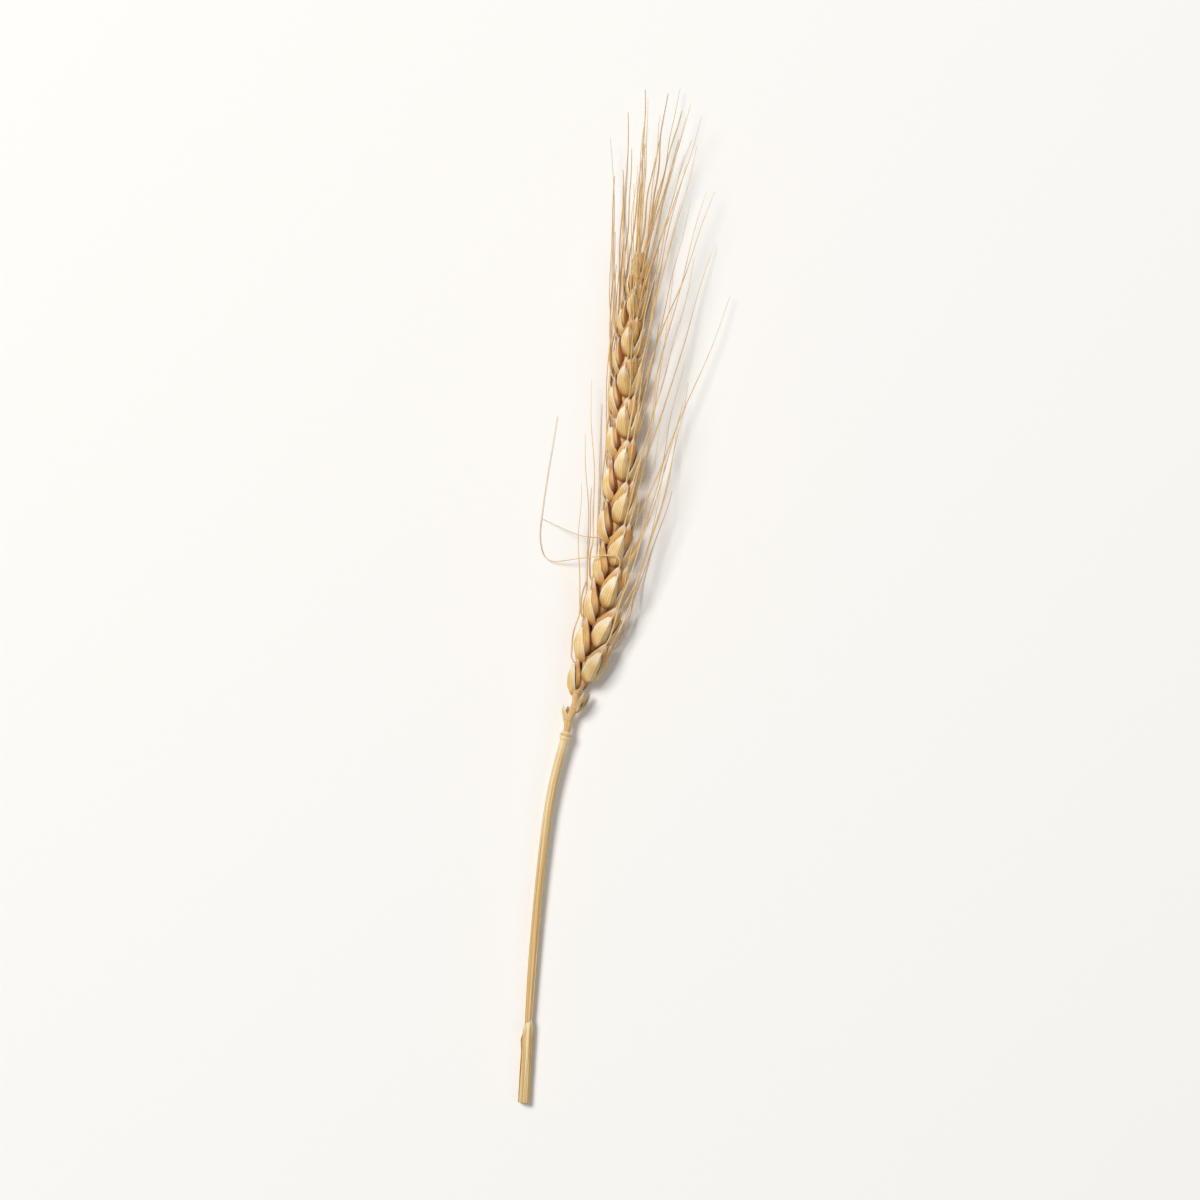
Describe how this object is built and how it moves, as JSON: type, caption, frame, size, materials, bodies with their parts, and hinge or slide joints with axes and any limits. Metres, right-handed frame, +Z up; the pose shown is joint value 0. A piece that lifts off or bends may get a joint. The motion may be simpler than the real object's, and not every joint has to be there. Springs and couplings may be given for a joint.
{
  "type": "wheat ear",
  "caption": "Dried bearded wheat ear with husked spikelets in two rows and long awns, on a cut straw with a leaf sheath, lying on its side.",
  "frame": {"origin": "middle of the underside of the bounding box, on the surface that the ear lies on", "axes": "+Y from the cut end of the straw towards the tip of the ear, +Z up from the surface"},
  "size_m": [0.0476, 0.2262, 0.0167],
  "materials": {
    "head": "dry papery husk, satin",
    "straw": "ribbed dry straw, satin",
    "leaf_sheath": "dry leaf, matte"
  },
  "bodies": {
    "root": {"head": "head", "straw": "straw", "leaf_sheath": "leaf_sheath"}
  },
  "joints": []
}
